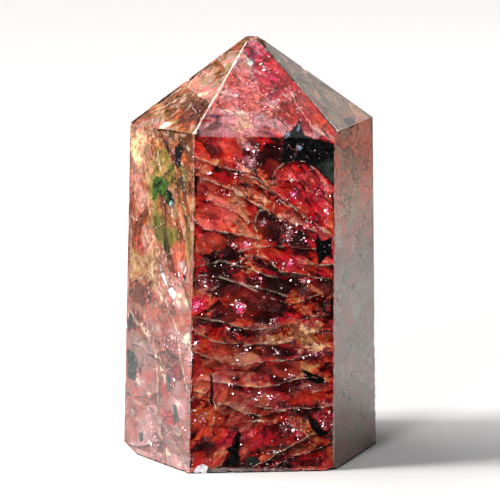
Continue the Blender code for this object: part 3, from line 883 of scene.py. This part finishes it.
def face_sheet(name, spacing):
    """A fine flat net over one face, cut to its outline: points, loose inner points and mesh."""
    level, up = face_axes(name)
    corners = face_corners(name)
    middle = corners.mean(axis=0)
    across = (corners - middle) @ level
    along = (corners - middle) @ up
    low = np.array([across.min(), along.min()]) - spacing
    high = np.array([across.max(), along.max()]) + spacing
    count = np.ceil((high - low) / spacing).astype(int)
    bm = bmesh.new()
    bmesh.ops.create_grid(bm, x_segments=int(count[0]), y_segments=int(count[1]), size=0.5)
    normal = PLANES[name][1]
    centre = middle + level * (low[0] + high[0]) / 2 + up * (low[1] + high[1]) / 2
    axes = np.stack([level * (high[0] - low[0]), up * (high[1] - low[1]), normal], axis=1)
    place = Matrix(axes.tolist()).to_4x4()
    place.translation = centre
    bmesh.ops.transform(bm, matrix=place, verts=bm.verts)
    for k, other in enumerate(FACES):
        if other == name or ((corners @ NORMALS[k] - OFFSETS[k]).max() < -0.5):
            continue
        bmesh.ops.bisect_plane(
            bm, geom=bm.verts[:] + bm.edges[:] + bm.faces[:], dist=1e-5,
            plane_co=Vector(NORMALS[k] * OFFSETS[k]), plane_no=Vector(NORMALS[k]), clear_outer=True)
    inner = np.array([not v.is_boundary for v in bm.verts])
    mesh = bpy.data.meshes.new("grains_" + name)
    bm.to_mesh(mesh)
    bm.free()
    points = np.empty(len(mesh.vertices) * 3)
    mesh.vertices.foreach_get("co", points)
    return mesh, points.reshape(-1, 3), inner


def skin_depths(points, normal, skin):
    """How far the real surface, with its bevels and chips, lies below a face's plane."""
    out = np.zeros(len(points))
    look = Vector(-normal)
    for k, p in enumerate(points):
        hit = skin.ray_cast(Vector(p + normal), look, 9.0)
        out[k] = hit[3] - 1.0 if hit[0] is not None else 9.0
    return out


def keep_inside(points, depth, inward, skin):
    """Moves the points in, and those outside the real surface to just under it."""
    moved = points + inward * depth[:, None]
    for k in np.nonzero(depth > 2.0)[0]:
        near, normal, _, _ = skin.find_nearest(Vector(moved[k]))
        if (Vector(moved[k]) - near).dot(normal) > -SKIN_GAP or depth[k] > 8.0:
            near, normal, _, _ = skin.find_nearest(Vector(points[k]))
            moved[k] = np.array(near - normal * SKIN_GAP)
    return moved


def add_attribute(mesh, name, values):
    """Keeps a colour or a number for each point of a mesh."""
    layer = mesh.attributes.new(name, "FLOAT_COLOR" if values.ndim == 2 else "FLOAT", "POINT")
    if values.ndim == 2:
        rgba = np.ones((len(values), 4))
        rgba[:, :3] = values
        layer.data.foreach_set("color", rgba.ravel())
    else:
        layer.data.foreach_set("value", values)


def place_piece(name, mesh, material):
    """Puts a mesh on the stone as one of its pieces."""
    mesh.materials.append(material)
    obj = bpy.data.objects.new(name, mesh)
    bpy.context.scene.collection.objects.link(obj)
    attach(obj, "root")


def grain_sheet(name, skin, material):
    """The stone's inside under one face, as an open relief sheet with its colours."""
    mesh, points, inner = face_sheet(name, SPACING[name])
    rng = np.random.default_rng(SEED + FACES.index(name))
    level, up = face_axes(name)
    wander = rng.uniform(-0.3, 0.3, (len(points), 2)) * SPACING[name] * inner[:, None]
    points = points + wander[:, :1] * level + wander[:, 1:] * up
    look = grain_look(points, name)
    floor = skin_depths(points, PLANES[name][1], skin)
    depth = np.maximum(look["depth"], floor + SKIN_GAP)
    points = keep_inside(points, depth, soft_inward(points), skin)
    points[:, 2] = np.maximum(points[:, 2], BASE_CLEARANCE)
    mesh.vertices.foreach_set("co", (points * MM).ravel())
    for kind in ("colour", "gloss", "web", "crumb"):
        add_attribute(mesh, "stone_" + kind, look[kind])
    mesh.update()
    place_piece("grains_" + name, mesh, material)


def crack_ribbons(face, material):
    """Thin crinkled films that stand in stretches of the cracks and catch the light."""
    rng = np.random.default_rng(SEED + 500 + FACES.index(face))
    level, up = face_axes(face)
    normal = PLANES[face][1]
    origin = normal * (PLANES[face][0] @ normal)
    corners = flat(face_corners(face), face)
    border = hull(corners) * 0.98 + corners.mean(axis=0) * 0.02
    bm = bmesh.new()
    for width, _, line in face_cracks(face):
        stretches = np.linalg.norm(np.diff(line, axis=0), axis=1)
        along = np.concatenate([[0], np.cumsum(stretches)])
        count = max(4, int(along[-1] / 0.22))
        t = np.linspace(0, along[-1], count)
        path = np.stack([np.interp(t, along, line[:, k]) for k in (0, 1)], axis=1)
        kinks = rng.normal(0, 0.1, (int(along[-1] / 0.8) + 3, 2))
        where = np.linspace(0, along[-1], len(kinks))
        path += np.stack([np.interp(t, where, kinks[:, k]) for k in (0, 1)], axis=1)
        spots = origin + np.outer(path[:, 0] - origin @ level, level)
        spots += np.outer(path[:, 1] - origin @ up, up)
        path -= 0.4 * stone_warp(spots)[:, :2]
        heading = np.gradient(path, axis=0)
        side = np.stack([-heading[:, 1], heading[:, 0]], axis=1)
        side /= np.linalg.norm(side, axis=1)[:, None] + 1e-9
        fade = np.clip(np.minimum(t, along[-1] - t) / 1.2, 0.15, 1.0)
        swell = gradient_noise(np.stack([t / 1.5, t * 0 + width * 91, t * 0], axis=1), 9)
        half = 0.26 * width * fade * np.clip(0.8 + 1.2 * swell + rng.normal(0, 0.2, count), 0.15, 2.0)
        gone = swell < 0.08
        last = None
        for k in range(count):
            here = path[k]
            if gone[k] or not inside_outline(here[None], border)[0]:
                last = None
                continue
            row = []
            for shift, sink in ((-half[k], 0.09), (half[k], 0.13)):
                spot = here - side[k] * shift * (1 if side[k][1] > 0 else -1)
                co = origin + level * (spot[0] - origin @ level) + up * (spot[1] - origin @ up)
                row.append(bm.verts.new((co - normal * sink) * MM))
            if last:
                bm.faces.new((last[0], last[1], row[1], row[0]))
            last = row
    finish_piece("cracks_" + face, bm, material)


def hull(corners):
    """Corners in order round their middle."""
    away = corners - corners.mean(axis=0)
    return corners[np.argsort(np.arctan2(away[:, 1], away[:, 0]))]


def finish_piece(name, bm, material):
    """Turns a drawn mesh into one of the stone's pieces."""
    mesh = bpy.data.meshes.new(name)
    bm.to_mesh(mesh)
    bm.free()
    place_piece(name, mesh, material)


def flake(bm, rng, face, spot, size):
    """One small bright cleavage flake under a face, tilted a little towards the light."""
    level, up = face_axes(face)
    normal = PLANES[face][1]
    origin = normal * (PLANES[face][0] @ normal)
    centre = origin + level * (spot[0] - origin @ level) + up * (spot[1] - origin @ up)
    look = normal + level * rng.normal(-0.2, 0.16) + up * rng.normal(0.2, 0.2)
    look /= np.linalg.norm(look)
    lie = rng.normal(-0.3, 0.5)
    one = np.cross(look, math.cos(lie) * up - math.sin(lie) * level)
    one /= np.linalg.norm(one)
    two = np.cross(look, one)
    centre = centre - normal * (0.1 + size * 0.6)
    sides = int(rng.integers(4, 7))
    turns = (np.arange(sides) + rng.uniform(0, 0.8, sides)) * 2 * math.pi / sides
    slim = rng.uniform(0.3, 1.0)
    ring = [centre + size * rng.uniform(0.6, 1.3) * (math.cos(a) * one + slim * math.sin(a) * two)
            for a in turns]
    bm.faces.new([bm.verts.new(co * MM) for co in ring])


def flakes(face, count, material):
    """Bright cleavage flakes: scattered, gathered along the cracks, and in the named clusters."""
    rng = np.random.default_rng(SEED + 900 + FACES.index(face))
    corners = flat(face_corners(face), face)
    low, high = corners.min(axis=0), corners.max(axis=0)
    border = hull(corners) * 0.97 + corners.mean(axis=0) * 0.03
    lines = face_cracks(face)
    bm = bmesh.new()
    made = 0
    while made < count:
        spot = rng.uniform(low, high)
        if rng.random() < 0.4:
            line = lines[rng.integers(len(lines))][2]
            k = rng.integers(len(line) - 1)
            spot = line[k] + (line[k + 1] - line[k]) * rng.random() + rng.normal(0, 0.8, 2)
        if inside_outline(spot[None], border)[0]:
            flake(bm, rng, face, spot, 0.05 + 0.14 * rng.random() ** 3)
            made += 1
    for px, py, rx, ry, number in SPARKLES:
        if on_stone(px, py)[0] != face:
            continue
        for _ in range(2 * number):
            place = on_plane(px + rx * rng.normal(0, 0.55), py + ry * rng.normal(0, 0.55), face)
            spot = flat(place[None], face)[0]
            if inside_outline(spot[None], border)[0]:
                flake(bm, rng, face, spot, 0.06 + 0.32 * rng.random() ** 3)
    finish_piece("flakes_" + face, bm, material)


def edge_film(name, face, other, share, widths, skin, material, turn=1.0, lift=FILM_LIFT):
    """Line on an edge between two faces, turned towards the second by its share of the look; share says
    which stretch of the edge, and lift how far the line is above the skin."""
    rng = np.random.default_rng(SEED + 700 + FACES.index(face))
    mine, theirs = face_corners(face), face_corners(other)
    ends = np.array([c for c in mine if np.linalg.norm(theirs - c, axis=1).min() < 1e-6])
    ends = ends[np.argsort(-ends[:, 2])]
    top, foot = ends[0], ends[-1]
    out = PLANES[face][1] + PLANES[other][1] * turn
    out /= np.linalg.norm(out)
    side = np.cross(out, foot - top)
    side /= np.linalg.norm(side)
    count = int(np.linalg.norm(foot - top) * (share[1] - share[0]) / 0.3) + 2
    bm = bmesh.new()
    last = None
    for t in np.linspace(share[0], share[1], count):
        wide = np.interp(t, *zip(*widths)) * rng.uniform(0.6, 1.3) / 2
        row = []
        for shift in (-wide, 0.0, wide):
            start = top + (foot - top) * t + side * (shift + rng.normal(0, 0.03))
            hit = skin.ray_cast(Vector(start + out * 2), Vector(-out), 9.0)[0]
            if hit is None:
                break
            place = np.array(hit) + out * lift
            place[2] = max(place[2], 0.0)
            row.append(bm.verts.new(place * MM))
        if len(row) < 3:
            last = None
            continue
        if last:
            for i in (0, 1):
                bm.faces.new((last[i], last[i + 1], row[i + 1], row[i]))
        last = row
    finish_piece(name, bm, material)


# Materials

def new_material(name):
    material = bpy.data.materials.new(name)
    material.use_nodes = True
    nodes = material.node_tree.nodes
    return material, nodes, material.node_tree.links, nodes["Principled BSDF"]


def math_node(nodes, links, operation, a, b):
    node = nodes.new("ShaderNodeMath")
    node.operation = operation
    for k, value in enumerate((a, b)):
        if isinstance(value, (int, float)):
            node.inputs[k].default_value = value
        else:
            links.new(value, node.inputs[k])
    return node.outputs[0]


def attribute(nodes, name, output="Fac"):
    node = nodes.new("ShaderNodeAttribute")
    node.attribute_name = name
    return node.outputs[output]


def map_range(nodes, links, value, low, high, to_low, to_high):
    node = nodes.new("ShaderNodeMapRange")
    for name, number in (("From Min", low), ("From Max", high), ("To Min", to_low), ("To Max", to_high)):
        node.inputs[name].default_value = number
    links.new(value, node.inputs["Value"])
    return node.outputs[0]


def noise_node(nodes, links, place, scale, detail=2.0):
    node = nodes.new("ShaderNodeTexNoise")
    node.inputs["Scale"].default_value = scale
    node.inputs["Detail"].default_value = detail
    links.new(place, node.inputs["Vector"])
    return node


def vector_node(nodes, links, operation, *values):
    node = nodes.new("ShaderNodeVectorMath")
    node.operation = operation
    for k, value in enumerate(values):
        if isinstance(value, tuple):
            node.inputs[k].default_value = value
        else:
            links.new(value, node.inputs[k])
    return node


def voronoi(nodes, links, place, scale, feature="F1"):
    node = nodes.new("ShaderNodeTexVoronoi")
    node.feature = feature
    node.inputs["Scale"].default_value = scale
    links.new(place, node.inputs["Vector"])
    return node


def mix_colour(nodes, links, share, first, second):
    node = nodes.new("ShaderNodeMix")
    node.data_type = "RGBA"
    links.new(share, node.inputs["Factor"])
    for socket, value in ((node.inputs["A"], first), (node.inputs["B"], second)):
        if isinstance(value, tuple):
            socket.default_value = value
        else:
            links.new(value, socket)
    return node.outputs["Result"]


# Fine webs of cracks in the grains: scale, width, strength, whether they keep to the crumbly stone, and
# colour. Painted sparkles, pale specks that stand for tiny glints: scale, and the share of cells without
# one. Facets: scale and slope.
WEBS = (
    (310.0, 0.024, 0.8, False, "salmon"),
    (820.0, 0.06, 0.7, False, "beige"),
    (1900.0, 0.11, 0.75, True, "pink"),
)
PAINTED_SPARKLES = ((2600.0, 0.84), (4200.0, 0.8))
FACETS = ((1100.0, 0.9), (2600.0, 0.8))
WEB_BEND = 0.0022
GRAIN_IOR = 1.15
SKIN_IOR = 1.76
SKIN_ROUGHNESS = 0.03


def grain_material():
    """Mottled grains with fine crack webs and specks of painted sparkle."""
    material, nodes, links, shader = new_material("garnet_grains")
    place = nodes.new("ShaderNodeTexCoord").outputs["Object"]
    web = attribute(nodes, "stone_web")

    mottle = noise_node(nodes, links, place, 1300.0, 5.0)
    uneven = map_range(nodes, links, mottle.outputs["Fac"], 0.3, 0.7, -0.5, 0.5)
    crumb = map_range(nodes, links, attribute(nodes, "stone_crumb"), 0.0, 1.0, 0.22, 1.15)
    spread = math_node(nodes, links, "MULTIPLY", uneven, crumb)
    spread = math_node(nodes, links, "ADD", spread, 1.0)
    scaled = nodes.new("ShaderNodeVectorMath")
    scaled.operation = "SCALE"
    links.new(attribute(nodes, "stone_colour", "Color"), scaled.inputs[0])
    links.new(spread, scaled.inputs["Scale"])
    colour = scaled.outputs[0]

    bend = noise_node(nodes, links, place, 260.0)
    shift = bend.outputs["Color"], (WEB_BEND, WEB_BEND, WEB_BEND)
    bent = vector_node(nodes, links, "MULTIPLY_ADD", *shift, place).outputs[0]
    gate = noise_node(nodes, links, place, 420.0, 3.0)
    open_gate = map_range(nodes, links, gate.outputs["Fac"], 0.45, 0.58, 0.0, 1.0)
    for scale, width, strength, in_crumbs, tint in WEBS:
        edge = voronoi(nodes, links, bent, scale, "DISTANCE_TO_EDGE").outputs["Distance"]
        line = map_range(nodes, links, edge, 0.0, width, strength, 0.0)
        line = math_node(nodes, links, "MULTIPLY", line, open_gate)
        line = math_node(nodes, links, "MULTIPLY", line, crumb if in_crumbs else web)
        line = math_node(nodes, links, "MULTIPLY", line, web)
        colour = mix_colour(nodes, links, line, colour, (*COLOURS[tint] * 0.9, 1.0))

    # Pale pink specks painted into the colour as tiny glints
    for scale, least in PAINTED_SPARKLES:
        sparkle_cells = voronoi(nodes, links, place, scale)
        rare = nodes.new("ShaderNodeSeparateColor")
        links.new(sparkle_cells.outputs["Color"], rare.inputs[0])
        chosen = map_range(nodes, links, rare.outputs[0], least, least + 0.03, 0.0, 1.0)
        dot = map_range(nodes, links, sparkle_cells.outputs["Distance"], 0.22, 0.38, 0.95, 0.0)
        dot = math_node(nodes, links, "MULTIPLY", dot, chosen)
        dot = math_node(nodes, links, "MULTIPLY", dot, open_gate)
        dot = math_node(nodes, links, "MULTIPLY", dot, math_node(nodes, links, "MULTIPLY", web, crumb))
        colour = mix_colour(nodes, links, dot, colour, (0.95, 0.68, 0.72, 1.0))
    links.new(colour, shader.inputs["Base Color"])

    rough = math_node(nodes, links, "MULTIPLY", attribute(nodes, "stone_gloss"), -0.4)
    rough = math_node(nodes, links, "MULTIPLY", rough, crumb)
    rough = math_node(nodes, links, "ADD", rough, 0.56)
    links.new(rough, shader.inputs["Roughness"])
    height = None
    for scale, slope in FACETS:
        tilted = facet_height(nodes, links, bent, scale, slope)
        height = tilted if height is None else math_node(nodes, links, "ADD", height, tilted)
    height = math_node(nodes, links, "MULTIPLY", height, crumb)
    bump = nodes.new("ShaderNodeBump")
    bump.inputs["Strength"].default_value = 0.9
    bump.inputs["Distance"].default_value = 1.0
    links.new(height, bump.inputs["Height"])
    links.new(bump.outputs[0], shader.inputs["Normal"])
    shader.inputs["IOR"].default_value = GRAIN_IOR
    return material


def facet_height(nodes, links, place, scale, slope):
    """Height of small flat facets, each with its own tilt."""
    cells = voronoi(nodes, links, place, scale)
    away = vector_node(nodes, links, "SUBTRACT", place, cells.outputs["Position"]).outputs[0]
    tilt = vector_node(nodes, links, "SUBTRACT", cells.outputs["Color"], (0.5, 0.5, 0.5)).outputs[0]
    dot = vector_node(nodes, links, "DOT_PRODUCT", away, tilt)
    return math_node(nodes, links, "MULTIPLY", dot.outputs["Value"], slope)


def plain_material(name, colour, roughness, specular=0.5):
    material, _, _, shader = new_material(name)
    shader.inputs["Base Color"].default_value = (*colour, 1.0)
    shader.inputs["Roughness"].default_value = roughness
    shader.inputs["Specular IOR Level"].default_value = specular
    return material


def streaked_material(name, dull, bright, roughness, scale, spread):
    """Pale film in two tones: a noise of the given scale parts them, over a spread of its values."""
    material, nodes, links, shader = new_material(name)
    shader.inputs["Roughness"].default_value = roughness
    place = nodes.new("ShaderNodeTexCoord").outputs["Object"]
    noise = noise_node(nodes, links, place, scale)
    share = map_range(nodes, links, noise.outputs["Fac"], *spread, 0.0, 1.0)
    tones = ((*dull, 1.0), (*bright, 1.0))
    links.new(mix_colour(nodes, links, share, *tones), shader.inputs["Base Color"])
    return material


def flake_material():
    """Bright cleavage faces, from near white to pink."""
    material, nodes, links, shader = new_material("flake")
    shader.inputs["Metallic"].default_value = 0.75
    shader.inputs["Roughness"].default_value = 0.27
    place = nodes.new("ShaderNodeTexCoord").outputs["Object"]
    cells = voronoi(nodes, links, place, 900.0)
    tint = nodes.new("ShaderNodeSeparateColor")
    links.new(cells.outputs["Color"], tint.inputs[0])
    tones = ((1.0, 0.9, 0.9, 1.0), (0.95, 0.2, 0.36, 1.0))
    links.new(mix_colour(nodes, links, tint.outputs[0], *tones), shader.inputs["Base Color"])
    return material


def skin_material():
    """Clear polished surface of the stone."""
    material, _, _, shader = new_material("polished_skin")
    shader.inputs["Base Color"].default_value = (1.0, 1.0, 1.0, 1.0)
    shader.inputs["Transmission Weight"].default_value = 1.0
    shader.inputs["Roughness"].default_value = SKIN_ROUGHNESS
    shader.inputs["IOR"].default_value = SKIN_IOR
    return material


# Lights, floor and camera

FLOOR_GREY = (0.82, 0.82, 0.82)
FLOOR_SIZE = 6.0
FLOOR_HEIGHT = -0.00002
WORLD_TINT = (0.95, 0.97, 1.0, 1.0)
WORLD_LIGHT = 0.12
SUN_TINT = (1.0, 0.985, 0.96)
# Far lights: azimuth and height in degrees, strength, and width in degrees
SUNS = {"key": (-86.0, 38.0, 3.5, 18.0), "broad_key": (-106.0, 33.0, 2.4, 55.0)}
# Panels: azimuth and height in degrees, distance and size in metres, and power in watts
PANELS = {
    "front_fill": (-30.0, 25.0, 1.0, (0.15, 0.15), 4.8),
    "top": (90.0, 84.0, 0.9, (0.28, 0.3), 0.07),
    "ridge_light": (-139.0, 64.2, 0.9, (0.14, 0.14), 0.5),
    "right_back": (149.0, 24.0, 0.9, (0.42, 0.4), 0.42),
}
# Cards: near and far place and the width at each in metres, grey, and the shares over which the
# near end, the far end and the sides fade
CARDS = {
    "front_card": ((0.0, -0.022), (0.1, -1.0), (0.09, 0.5), 0.01, (0.001, 0.3, 0.25)),
    "left_card": ((-0.09, 0.02), (-0.93, 0.43), (0.16, 0.5), 0.08, (0.24, 0.2, 0.28)),
    "right_card": ((0.15, 0.11), (0.65, 0.57), (0.16, 0.4), 0.12, (0.42, 0.2, 0.28)),
}
CARD_SPLITS = 20
CARD_HEIGHT = 0.0004
STONE_MIDDLE = 0.04


def aim(obj, target):
    look = Vector(target) - obj.location
    obj.rotation_euler = look.to_track_quat("-Z", "Y").to_euler()


def add_panel(name, azimuth, elevation, distance, size, power):
    """Soft light panel that looks at the stone's middle from a direction, in degrees and metres."""
    data = bpy.data.lights.new(name, "AREA")
    data.shape = "RECTANGLE"
    data.size, data.size_y = size
    data.energy = power
    obj = bpy.data.objects.new(name, data)
    bpy.context.scene.collection.objects.link(obj)
    obj.location = Vector(direction(azimuth, elevation)) * distance + Vector((0, 0, STONE_MIDDLE))
    aim(obj, (0.0, 0.0, STONE_MIDDLE))
    obj.visible_camera = False


def add_floor():
    bm = bmesh.new()
    bmesh.ops.create_grid(bm, x_segments=1, y_segments=1, size=FLOOR_SIZE)
    mesh = bpy.data.meshes.new("floor")
    bm.to_mesh(mesh)
    bm.free()
    floor = bpy.data.objects.new("floor", mesh)
    bpy.context.scene.collection.objects.link(floor)
    floor.location = (0.0, 0.0, FLOOR_HEIGHT)
    mesh.materials.append(plain_material("floor", FLOOR_GREY, 0.7))


def add_world():
    """White behind everything, and a faint even light."""
    world = bpy.data.worlds.new("studio")
    bpy.context.scene.world = world
    world.use_nodes = True
    nodes = world.node_tree.nodes
    links = world.node_tree.links
    nodes.clear()
    out = nodes.new("ShaderNodeOutputWorld")
    seen = nodes.new("ShaderNodeBackground")
    seen.inputs["Color"].default_value = (1.0, 1.0, 1.0, 1.0)
    seen.inputs["Strength"].default_value = 1.0
    room = nodes.new("ShaderNodeBackground")
    room.inputs["Color"].default_value = WORLD_TINT
    room.inputs["Strength"].default_value = WORLD_LIGHT
    path = nodes.new("ShaderNodeLightPath")
    mix = nodes.new("ShaderNodeMixShader")
    links.new(path.outputs["Is Camera Ray"], mix.inputs["Fac"])
    links.new(room.outputs[0], mix.inputs[1])
    links.new(seen.outputs[0], mix.inputs[2])
    links.new(mix.outputs[0], out.inputs["Surface"])


def add_camera():
    data = bpy.data.cameras.new("camera")
    data.sensor_width = SENSOR
    data.lens = FOCAL_PIXELS * SENSOR / PICTURE_SIZE
    data.clip_start = 0.01
    data.clip_end = 20.0
    camera = bpy.data.objects.new("camera", data)
    bpy.context.scene.collection.objects.link(camera)
    where, turn = camera_place()
    camera.location = where * MM
    camera.rotation_euler = turn
    bpy.context.scene.camera = camera


def add_sun(name, azimuth, elevation, strength, angle):
    """Far light of a given width, from a direction, all in degrees."""
    data = bpy.data.lights.new(name, "SUN")
    data.energy = strength
    data.angle = math.radians(angle)
    data.color = SUN_TINT
    obj = bpy.data.objects.new(name, data)
    bpy.context.scene.collection.objects.link(obj)
    obj.location = Vector(direction(azimuth, elevation))
    aim(obj, (0.0, 0.0, 0.0))


def add_card(name, start, end, widths, grey, fades):
    """Grey card on the floor that only polished faces mirror, from a near place to a far one, with
    its width at each. It fades into the floor's own grey over shares of its length and width: at
    its near end, its far end and its sides."""
    bm = bmesh.new()
    bmesh.ops.create_grid(bm, x_segments=CARD_SPLITS, y_segments=CARD_SPLITS, size=0.5)
    places = np.array([v.co for v in bm.verts])
    along = np.array(end) - np.array(start)
    across = np.array([along[1], -along[0]]) / np.linalg.norm(along)
    share = places[:, 1:2] + 0.5
    width = widths[0] * (1 - share) + widths[1] * share
    spots = np.array(start) + along * share + across * width * places[:, :1]
    for v, spot in zip(bm.verts, spots):
        v.co = (spot[0], spot[1], CARD_HEIGHT)
    mesh = bpy.data.meshes.new(name)
    bm.to_mesh(mesh)
    bm.free()
    layer = mesh.attributes.new("card_place", "FLOAT_VECTOR", "POINT")
    layer.data.foreach_set("vector", places.ravel())
    card = bpy.data.objects.new(name, mesh)
    bpy.context.scene.collection.objects.link(card)
    material, nodes, links, shader = new_material(name)
    spot = nodes.new("ShaderNodeSeparateXYZ")
    links.new(attribute(nodes, "card_place", "Vector"), spot.inputs[0])
    near, far, sides = fades
    share = map_range(nodes, links, spot.outputs["Y"], -0.5, -0.5 + near, 0.0, 1.0)
    for axis, fade in (("Y", far), ("X", sides)):
        edge = map_range(nodes, links, spot.outputs[axis], 0.5 - fade, 0.5, 1.0, 0.0)
        share = math_node(nodes, links, "MULTIPLY", share, edge)
    edge = map_range(nodes, links, spot.outputs["X"], -0.5, -0.5 + sides, 0.0, 1.0)
    share = math_node(nodes, links, "MULTIPLY", share, edge)
    tones = ((*FLOOR_GREY, 1.0), (grey, grey, grey, 1.0))
    links.new(mix_colour(nodes, links, share, *tones), shader.inputs["Base Color"])
    shader.inputs["Roughness"].default_value = 1.0
    shader.inputs["Specular IOR Level"].default_value = 0.0
    mesh.materials.append(material)
    card.visible_camera = False
    card.visible_diffuse = False
    card.visible_shadow = False


def add_lights():
    for name, values in SUNS.items():
        add_sun(name, *values)
    for name, values in CARDS.items():
        add_card(name, *values)
    for name, values in PANELS.items():
        add_panel(name, *values)


def dress_stone(stone):
    """Clear polish on the stone itself, which lets the light through to its inside."""
    stone.data.materials.clear()
    stone.data.materials.append(skin_material())
    stone.visible_shadow = False
    stone.visible_diffuse = False
    stone.visible_glossy = False


def fill_stone(skin):
    """Grains, cracks and flakes inside each face."""
    material = grain_material()
    tones = COLOURS["rose"] * 0.9, COLOURS["cream"]
    film = streaked_material("crack_film", *tones, 0.35, 700.0, (0.4, 0.6))
    glitter = flake_material()
    for name in FACES:
        grain_sheet(name, skin, material)
        if name not in CAPS:
            crack_ribbons(name, film)
            flakes(name, FLAKES.get(name, FLAKES_ELSEWHERE), glitter)


def line_edges(skin):
    """Frosted lines with painted highlight on the point's ridges, painted highlights on the bevels beside
    the front, and the painted contact shadow round the foot.
    """
    # Pale frosted lines on the point's ridges, with painted highlight along them
    tones = COLOURS["pink"] * 0.9, COLOURS["frost_and_glint"]
    frost_and_glint = streaked_material("edge_frost_and_glint", *tones, 0.4, 900.0, (0.35, 0.6))
    # Painted highlights on the bevels beside the front
    tones = COLOURS["rose"] * 0.7, COLOURS["mauve"] * 1.1
    worn = streaked_material("edge_worn", *tones, 0.4, 900.0, (0.35, 0.6))
    for name, face, other, share, widths in EDGE_FILMS:
        edge_film(name, face, other, share, widths, skin, worn if name.startswith("worn") else frost_and_glint)
    # Painted contact shadow along the foot edges
    shade = plain_material("foot_shade", COLOURS["black"], 1.0, 0.0)
    for face in SIDE_FACES:
        thick = ((0.0, CONTACT_SHADOW_WIDTH), (1.0, CONTACT_SHADOW_WIDTH))
        edge_film("foot_" + face, face, "base", (0.0, 1.0), thick, skin, shade, CONTACT_SHADOW_TURN, CONTACT_SHADOW_LIFT)


def main():
    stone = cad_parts[NODE]
    corners = [Vector(v.co) / MM for v in stone.data.vertices]
    faces = [tuple(f.vertices) for f in stone.data.polygons]
    skin = BVHTree.FromPolygons(corners, faces)
    dress_stone(stone)
    fill_stone(skin)
    line_edges(skin)
    add_floor()
    add_world()
    add_lights()
    add_camera()
    bpy.context.scene.view_settings.view_transform = "Standard"


main()
